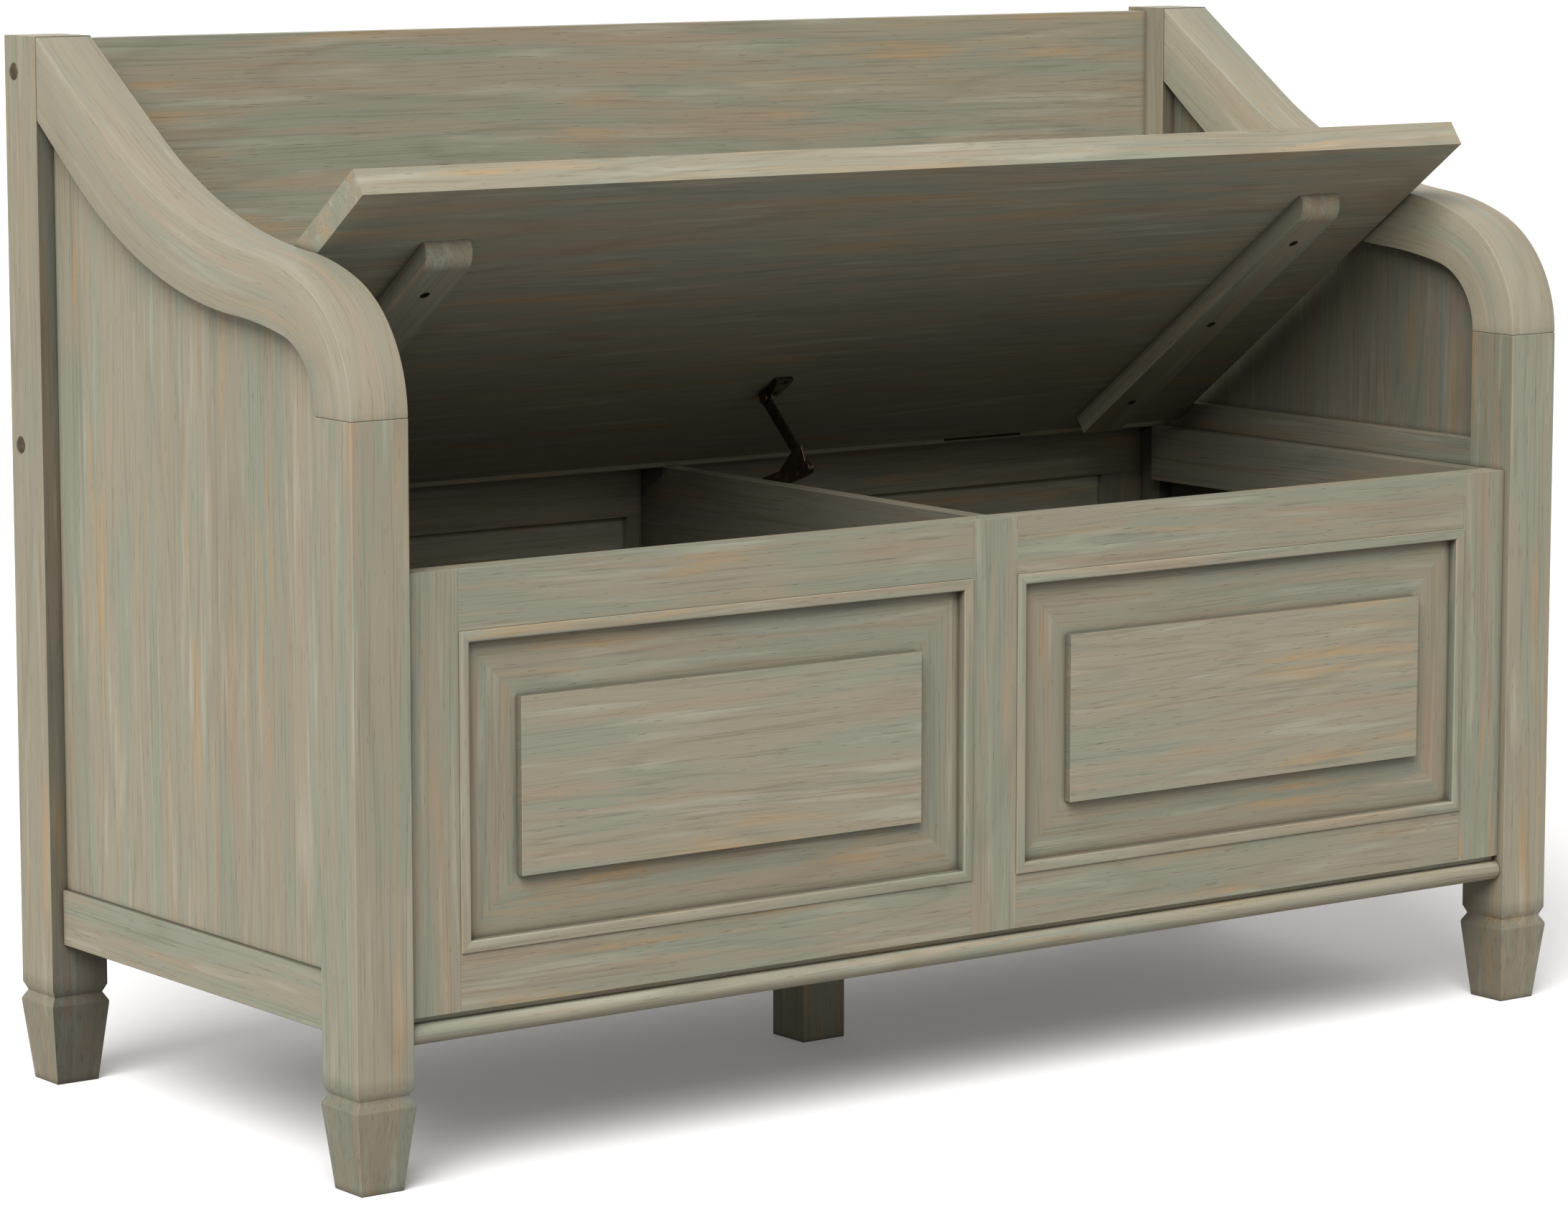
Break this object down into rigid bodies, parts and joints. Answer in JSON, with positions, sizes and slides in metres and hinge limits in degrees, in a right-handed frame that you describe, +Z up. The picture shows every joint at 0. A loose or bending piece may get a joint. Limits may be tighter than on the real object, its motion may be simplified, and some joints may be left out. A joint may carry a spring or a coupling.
{
  "type": "storage bench",
  "caption": "Wooden entryway storage bench with curved arms, a backrest, raised front panels and a hinged seat lid held by a folding stay.",
  "frame": {"origin": "on the floor, under the middle of the bench", "axes": "+X to the sitter's left seen from the front (right in a front view), the front faces -Y, +Z up"},
  "size_m": [1.0714, 0.4514, 0.744],
  "materials": {
    "grey_green_pine": "distressed grey-green wash over streaky pine grain, satin",
    "stay_bronze": "dark bronze, semi-gloss",
    "screw_bronze": "dark bronze, semi-gloss",
    "hinge_bronze": "dark bronze, semi-gloss",
    "bolt_steel": "zinc-plated steel",
    "cap_greige": "greige plastic, satin"
  },
  "bodies": {
    "case": {"back_bolts": "bolt_steel", "backrest_board": "grey_green_pine", "barrel_nuts": "bolt_steel", "bolt_caps": "cap_greige", "bottom_board": "grey_green_pine", "case_fitting_screws": "screw_bronze", "centre_leg": "grey_green_pine", "divider": "grey_green_pine", "front_centre_stile": "grey_green_pine", "front_left_bottom_rail": "grey_green_pine", "front_left_stile": "grey_green_pine", "front_left_top_rail": "grey_green_pine", "front_right_bottom_rail": "grey_green_pine", "front_right_stile": "grey_green_pine", "front_right_top_rail": "grey_green_pine", "front_spacer_strip": "grey_green_pine", "hinge_pins": "hinge_bronze", "left_arm_rail": "grey_green_pine", "left_case_hinge_leaf": "hinge_bronze", "left_front_leg": "grey_green_pine", "left_front_panel": "grey_green_pine", "left_lid_ledger": "grey_green_pine", "left_panel_moulding": "grey_green_pine", "left_raised_field": "grey_green_pine", "left_rear_panel": "grey_green_pine", "left_rear_post": "grey_green_pine", "left_seat_rail": "grey_green_pine", "left_side_bottom_rail": "grey_green_pine", "left_side_panel": "grey_green_pine", "rear_bottom_rail": "grey_green_pine", "rear_centre_stile": "grey_green_pine", "rear_left_stile": "grey_green_pine", "rear_right_stile": "grey_green_pine", "rear_seat_strip": "grey_green_pine", "rear_top_rail": "grey_green_pine", "right_arm_rail": "grey_green_pine", "right_case_hinge_leaf": "hinge_bronze", "right_front_leg": "grey_green_pine", "right_front_panel": "grey_green_pine", "right_lid_ledger": "grey_green_pine", "right_panel_moulding": "grey_green_pine", "right_raised_field": "grey_green_pine", "right_rear_panel": "grey_green_pine", "right_rear_post": "grey_green_pine", "right_seat_rail": "grey_green_pine", "right_side_bottom_rail": "grey_green_pine", "right_side_panel": "grey_green_pine", "stay_base_plate": "stay_bronze"},
    "lid": {"lid_board": "grey_green_pine", "right_lid_batten": "grey_green_pine", "left_lid_batten": "grey_green_pine", "batten_screws": "screw_bronze", "lid_fitting_screws": "screw_bronze", "stay_lid_bracket": "stay_bronze", "left_lid_hinge_leaf": "hinge_bronze", "right_lid_hinge_leaf": "hinge_bronze"},
    "stay_link": {"stay_lower_link": "stay_bronze"},
    "stay_arm": {"stay_upper_arm": "stay_bronze"}
  },
  "joints": [
    {"name": "lid_hinge", "type": "hinge", "parent": "case", "child": "lid", "pos_m": [0, 0.1725, 0.4327], "axis": [-1, 0, 0], "range_deg": [-36, 49]},
    {"name": "stay_base_pivot", "type": "hinge", "parent": "case", "child": "stay_link", "pos_m": [0.0109, 0.1199, 0.3852], "axis": [-1, 0, 0], "range_deg": [-36, 49]},
    {"name": "stay_elbow_pivot", "type": "hinge", "parent": "stay_link", "child": "stay_arm", "pos_m": [0.0133, 0.01939, 0.4204], "axis": [1, 0, 0], "range_deg": [-36, 49]}
  ],
  "couplings": [
    {"joint": "stay_base_pivot", "follows": "lid_hinge", "ratio": 1},
    {"joint": "stay_elbow_pivot", "follows": "lid_hinge", "ratio": 1}
  ]
}
